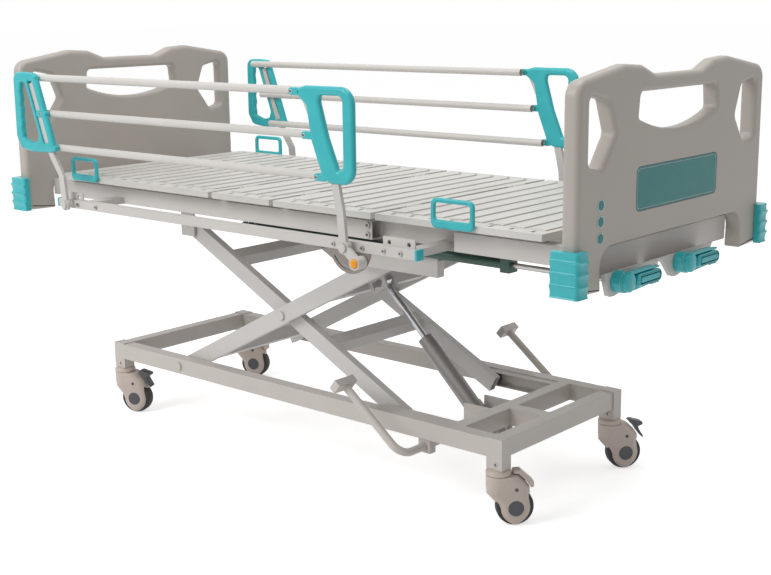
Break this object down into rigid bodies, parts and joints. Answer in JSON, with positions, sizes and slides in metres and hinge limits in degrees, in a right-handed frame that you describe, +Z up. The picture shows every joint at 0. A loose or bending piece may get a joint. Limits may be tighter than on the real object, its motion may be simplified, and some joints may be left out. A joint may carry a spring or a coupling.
{
  "type": "hospital bed",
  "caption": "Height-adjustable ward bed on braked castors, with scissor lift, hinged ribbed deck, folding side guards, moulded end boards and hand cranks.",
  "frame": {"origin": "on the floor under the middle of the bed", "axes": "+X towards the foot end, +Z up, -Y the side nearest the camera in the picture"},
  "size_m": [2.236, 1.04, 1.1949],
  "materials": {
    "frame_paint": "satin",
    "deck_paint": "satin",
    "rail_paint": "satin",
    "board_plastic": "fine matt",
    "teal_plastic": "gloss",
    "castor_plastic": "matt",
    "dark_plastic": "matt",
    "tyre": "matt",
    "bright_steel": "brushed",
    "dark_steel": "satin",
    "cylinder_paint": "gloss",
    "orange_plastic": "gloss",
    "green_paint": "satin"
  },
  "bodies": {
    "base": {"base_frame": "frame_paint"},
    "near_head_castor_swivel": {"near_head_castor_fork": "castor_plastic"},
    "near_head_castor_roller": {"near_head_castor_wheel": "tyre"},
    "near_head_castor_pedal": {"near_head_castor_brake": "dark_plastic"},
    "far_head_castor_swivel": {"far_head_castor_fork": "castor_plastic"},
    "far_head_castor_roller": {"far_head_castor_wheel": "tyre"},
    "far_head_castor_pedal": {"far_head_castor_brake": "dark_plastic"},
    "near_foot_castor_swivel": {"near_foot_castor_fork": "castor_plastic"},
    "near_foot_castor_roller": {"near_foot_castor_wheel": "tyre"},
    "near_foot_castor_pedal": {"near_foot_castor_brake": "dark_plastic"},
    "far_foot_castor_swivel": {"far_foot_castor_fork": "castor_plastic"},
    "far_foot_castor_roller": {"far_foot_castor_wheel": "tyre"},
    "far_foot_castor_pedal": {"far_foot_castor_brake": "dark_plastic"},
    "outer_arms": {"outer_lift_arms": "frame_paint"},
    "inner_arms": {"inner_lift_arms": "frame_paint"},
    "upper_rollers": {"upper_lift_rollers": "bright_steel"},
    "lower_rollers": {"lower_lift_rollers": "bright_steel"},
    "bed": {"bed_frame": "frame_paint", "frame_bolts": "bright_steel", "headboard": "board_plastic", "footboard": "board_plastic", "footboard_inlays": "teal_plastic", "corner_bumpers": "teal_plastic", "seat_section": "deck_paint", "guard_base_tubes": "frame_paint", "guard_end_caps": "teal_plastic", "lock_quadrants": "dark_steel"},
    "barrel": {"cylinder_barrel": "cylinder_paint"},
    "piston": {"piston_rod": "bright_steel"},
    "pedals": {"pump_pedals": "frame_paint"},
    "back": {"back_section": "deck_paint", "back_mattress_stops": "teal_plastic"},
    "thigh": {"thigh_section": "deck_paint"},
    "leg": {"leg_section": "deck_paint", "leg_mattress_stops": "teal_plastic"},
    "back_crank": {"back_crank_screw": "dark_steel", "back_crank_arm": "teal_plastic"},
    "back_grip": {"back_crank_grip": "teal_plastic"},
    "back_drive": {"back_drive_tube": "green_paint"},
    "knee_crank": {"knee_crank_screw": "dark_steel", "knee_crank_arm": "teal_plastic"},
    "knee_grip": {"knee_crank_grip": "teal_plastic"},
    "knee_drive": {"knee_drive_tube": "green_paint"},
    "near_foot_side": {"near_foot_post": "frame_paint", "near_foot_handle": "teal_plastic"},
    "near_head_side": {"near_head_post": "frame_paint", "near_head_handle": "teal_plastic"},
    "near_button": {"near_release_button": "orange_plastic"},
    "near_bottom_bar": {"near_bottom_rail": "rail_paint"},
    "near_middle_bar": {"near_middle_rail": "rail_paint"},
    "near_top_bar": {"near_top_rail": "rail_paint"},
    "far_foot_side": {"far_foot_post": "frame_paint", "far_foot_handle": "teal_plastic"},
    "far_head_side": {"far_head_post": "frame_paint", "far_head_handle": "teal_plastic"},
    "far_button": {"far_release_button": "orange_plastic"},
    "far_bottom_bar": {"far_bottom_rail": "rail_paint"},
    "far_middle_bar": {"far_middle_rail": "rail_paint"},
    "far_top_bar": {"far_top_rail": "rail_paint"}
  },
  "joints": [
    {"name": "near_head_castor_swivel", "type": "hinge", "parent": "base", "child": "near_head_castor_swivel", "pos_m": [-0.825, -0.272, 0.15], "axis": [0, 0, 1], "continuous": true},
    {"name": "near_head_castor_roll", "type": "hinge", "parent": "near_head_castor_swivel", "child": "near_head_castor_roller", "pos_m": [-0.78663, -0.25492, 0.05], "axis": [-0.4067, 0.9135, 0], "continuous": true},
    {"name": "near_head_castor_brake_press", "type": "hinge", "parent": "near_head_castor_swivel", "child": "near_head_castor_pedal", "pos_m": [-0.74461, -0.23621, 0.118], "axis": [-0.4067, 0.9135, 0], "range_deg": [0, 18]},
    {"name": "far_head_castor_swivel", "type": "hinge", "parent": "base", "child": "far_head_castor_swivel", "pos_m": [-0.825, 0.272, 0.15], "axis": [0, 0, 1], "continuous": true},
    {"name": "far_head_castor_roll", "type": "hinge", "parent": "far_head_castor_swivel", "child": "far_head_castor_roller", "pos_m": [-0.78725, 0.29041, 0.05], "axis": [-0.4384, 0.8988, 0], "continuous": true},
    {"name": "far_head_castor_brake_press", "type": "hinge", "parent": "far_head_castor_swivel", "child": "far_head_castor_pedal", "pos_m": [-0.74591, 0.31058, 0.118], "axis": [-0.4384, 0.8988, 0], "range_deg": [0, 18]},
    {"name": "near_foot_castor_swivel", "type": "hinge", "parent": "base", "child": "near_foot_castor_swivel", "pos_m": [0.725, -0.272, 0.15], "axis": [0, 0, 1], "continuous": true},
    {"name": "near_foot_castor_roll", "type": "hinge", "parent": "near_foot_castor_swivel", "child": "near_foot_castor_roller", "pos_m": [0.75364, -0.24128, 0.05], "axis": [-0.7314, 0.682, 0], "continuous": true},
    {"name": "near_foot_castor_brake_press", "type": "hinge", "parent": "near_foot_castor_swivel", "child": "near_foot_castor_pedal", "pos_m": [0.78502, -0.20764, 0.118], "axis": [-0.7314, 0.682, 0], "range_deg": [0, 18]},
    {"name": "far_foot_castor_swivel", "type": "hinge", "parent": "base", "child": "far_foot_castor_swivel", "pos_m": [0.725, 0.272, 0.15], "axis": [0, 0, 1], "continuous": true},
    {"name": "far_foot_castor_roll", "type": "hinge", "parent": "far_foot_castor_swivel", "child": "far_foot_castor_roller", "pos_m": [0.75086, 0.3051, 0.05], "axis": [-0.788, 0.6157, 0], "continuous": true},
    {"name": "far_foot_castor_brake_press", "type": "hinge", "parent": "far_foot_castor_swivel", "child": "far_foot_castor_pedal", "pos_m": [0.77918, 0.34135, 0.118], "axis": [-0.788, 0.6157, 0], "range_deg": [0, 18]},
    {"name": "lift_arm_turn", "type": "hinge", "parent": "base", "child": "outer_arms", "pos_m": [-0.52, 0, 0.211], "axis": [0, -1, 0], "range_deg": [-18, 0]},
    {"name": "lift_cross_turn", "type": "hinge", "parent": "outer_arms", "child": "inner_arms", "pos_m": [-0.08991, 0, 0.43299], "axis": [0, -1, 0], "range_deg": [0, 36]},
    {"name": "bed_level_turn", "type": "hinge", "parent": "inner_arms", "child": "bed", "pos_m": [-0.52, 0, 0.65497], "axis": [0, -1, 0], "range_deg": [-18, 0]},
    {"name": "upper_rollers_roll", "type": "hinge", "parent": "outer_arms", "child": "upper_rollers", "pos_m": [0.34018, 0, 0.65497], "axis": [0, 1, 0], "continuous": true},
    {"name": "lower_rollers_roll", "type": "hinge", "parent": "inner_arms", "child": "lower_rollers", "pos_m": [0.34018, 0, 0.211], "axis": [0, 1, 0], "continuous": true},
    {"name": "cylinder_tilt", "type": "hinge", "parent": "base", "child": "barrel", "pos_m": [0.518, -0.03, 0.15], "axis": [0, -1, 0], "range_deg": [0, 17.38]},
    {"name": "cylinder_stroke", "type": "slide", "parent": "barrel", "child": "piston", "axis": [-0.7141, 0, 0.7001], "range_m": [-0.1831, 0]},
    {"name": "pedal_pump", "type": "hinge", "parent": "base", "child": "pedals", "pos_m": [0.485, 0, 0.163], "axis": [0, -1, 0], "range_deg": [0, 20], "stiffness_Nm_per_rad": 30, "springref_deg": -20.05},
    {"name": "back_raise", "type": "hinge", "parent": "bed", "child": "back", "pos_m": [-0.219, 0, 0.804], "axis": [0, 1, 0], "range_deg": [0, 70]},
    {"name": "knee_raise", "type": "hinge", "parent": "bed", "child": "thigh", "pos_m": [0.034, 0, 0.804], "axis": [0, -1, 0], "range_deg": [0, 35]},
    {"name": "leg_follow", "type": "hinge", "parent": "thigh", "child": "leg", "pos_m": [0.41, 0, 0.804], "axis": [0, -1, 0], "range_deg": [-56, 0]},
    {"name": "back_crank_turn", "type": "hinge", "parent": "bed", "child": "back_crank", "pos_m": [1.0975, -0.292, 0.7], "axis": [1, 0, 0], "range_deg": [0, 8640]},
    {"name": "back_grip_fold", "type": "hinge", "parent": "back_crank", "child": "back_grip", "pos_m": [1.105, -0.16, 0.7], "axis": [0, 0, 1], "range_deg": [0, 90]},
    {"name": "back_drive_slide", "type": "slide", "parent": "bed", "child": "back_drive", "axis": [-1, 0, 0], "range_m": [0, 0.1295]},
    {"name": "knee_crank_turn", "type": "hinge", "parent": "bed", "child": "knee_crank", "pos_m": [1.0975, 0, 0.7], "axis": [1, 0, 0], "range_deg": [0, 4320]},
    {"name": "knee_grip_fold", "type": "hinge", "parent": "knee_crank", "child": "knee_grip", "pos_m": [1.105, 0.132, 0.7], "axis": [0, 0, 1], "range_deg": [0, 90]},
    {"name": "knee_drive_slide", "type": "slide", "parent": "bed", "child": "knee_drive", "axis": [1, 0, 0], "range_m": [0, 0.0631]},
    {"name": "near_guard_fold", "type": "hinge", "parent": "bed", "child": "near_foot_side", "pos_m": [0.405, -0.498, 0.734], "axis": [0, 1, 0], "range_deg": [0, 96]},
    {"name": "near_guard_head_fold", "type": "hinge", "parent": "bed", "child": "near_head_side", "pos_m": [-0.775, -0.498, 0.734], "axis": [0, 1, 0], "range_deg": [0, 96]},
    {"name": "near_bottom_rail_turn", "type": "hinge", "parent": "near_foot_side", "child": "near_bottom_bar", "pos_m": [0.322, -0.498, 0.9065], "axis": [0, 1, 0], "range_deg": [-96, 0]},
    {"name": "near_middle_rail_turn", "type": "hinge", "parent": "near_foot_side", "child": "near_middle_bar", "pos_m": [0.28, -0.498, 1.0105], "axis": [0, 1, 0], "range_deg": [-96, 0]},
    {"name": "near_top_rail_turn", "type": "hinge", "parent": "near_foot_side", "child": "near_top_bar", "pos_m": [0.238, -0.498, 1.12], "axis": [0, 1, 0], "range_deg": [-96, 0]},
    {"name": "near_button_press", "type": "slide", "parent": "near_foot_side", "child": "near_button", "axis": [0, 1, 0], "range_m": [0, 0.004], "stiffness_N_per_m": 900, "springref_m": -0.003},
    {"name": "far_guard_fold", "type": "hinge", "parent": "bed", "child": "far_foot_side", "pos_m": [0.405, 0.498, 0.734], "axis": [0, 1, 0], "range_deg": [0, 96]},
    {"name": "far_guard_head_fold", "type": "hinge", "parent": "bed", "child": "far_head_side", "pos_m": [-0.775, 0.498, 0.734], "axis": [0, 1, 0], "range_deg": [0, 96]},
    {"name": "far_bottom_rail_turn", "type": "hinge", "parent": "far_foot_side", "child": "far_bottom_bar", "pos_m": [0.322, 0.498, 0.9065], "axis": [0, 1, 0], "range_deg": [-96, 0]},
    {"name": "far_middle_rail_turn", "type": "hinge", "parent": "far_foot_side", "child": "far_middle_bar", "pos_m": [0.28, 0.498, 1.0105], "axis": [0, 1, 0], "range_deg": [-96, 0]},
    {"name": "far_top_rail_turn", "type": "hinge", "parent": "far_foot_side", "child": "far_top_bar", "pos_m": [0.238, 0.498, 1.12], "axis": [0, 1, 0], "range_deg": [-96, 0]},
    {"name": "far_button_press", "type": "slide", "parent": "far_foot_side", "child": "far_button", "axis": [0, -1, 0], "range_m": [0, 0.004], "stiffness_N_per_m": 900, "springref_m": -0.003}
  ],
  "couplings": [
    {"joint": "lift_cross_turn", "follows": "lift_arm_turn", "ratio": -2},
    {"joint": "bed_level_turn", "follows": "lift_arm_turn", "ratio": 1},
    {"joint": "cylinder_tilt", "follows": "lift_arm_turn", "ratio": -0.96463},
    {"joint": "cylinder_stroke", "follows": "lift_arm_turn", "m_per_rad": 0.58219},
    {"joint": "leg_follow", "follows": "knee_raise", "ratio": -1.6},
    {"joint": "back_crank_turn", "follows": "back_raise", "ratio": 123.43},
    {"joint": "back_drive_slide", "follows": "back_raise", "m_per_rad": 0.10584},
    {"joint": "knee_crank_turn", "follows": "knee_raise", "ratio": 123.43},
    {"joint": "knee_drive_slide", "follows": "knee_raise", "m_per_rad": 0.10298},
    {"joint": "near_guard_head_fold", "follows": "near_guard_fold", "ratio": 1},
    {"joint": "near_bottom_rail_turn", "follows": "near_guard_fold", "ratio": -1},
    {"joint": "near_middle_rail_turn", "follows": "near_guard_fold", "ratio": -1},
    {"joint": "near_top_rail_turn", "follows": "near_guard_fold", "ratio": -1},
    {"joint": "far_guard_head_fold", "follows": "far_guard_fold", "ratio": 1},
    {"joint": "far_bottom_rail_turn", "follows": "far_guard_fold", "ratio": -1},
    {"joint": "far_middle_rail_turn", "follows": "far_guard_fold", "ratio": -1},
    {"joint": "far_top_rail_turn", "follows": "far_guard_fold", "ratio": -1}
  ]
}
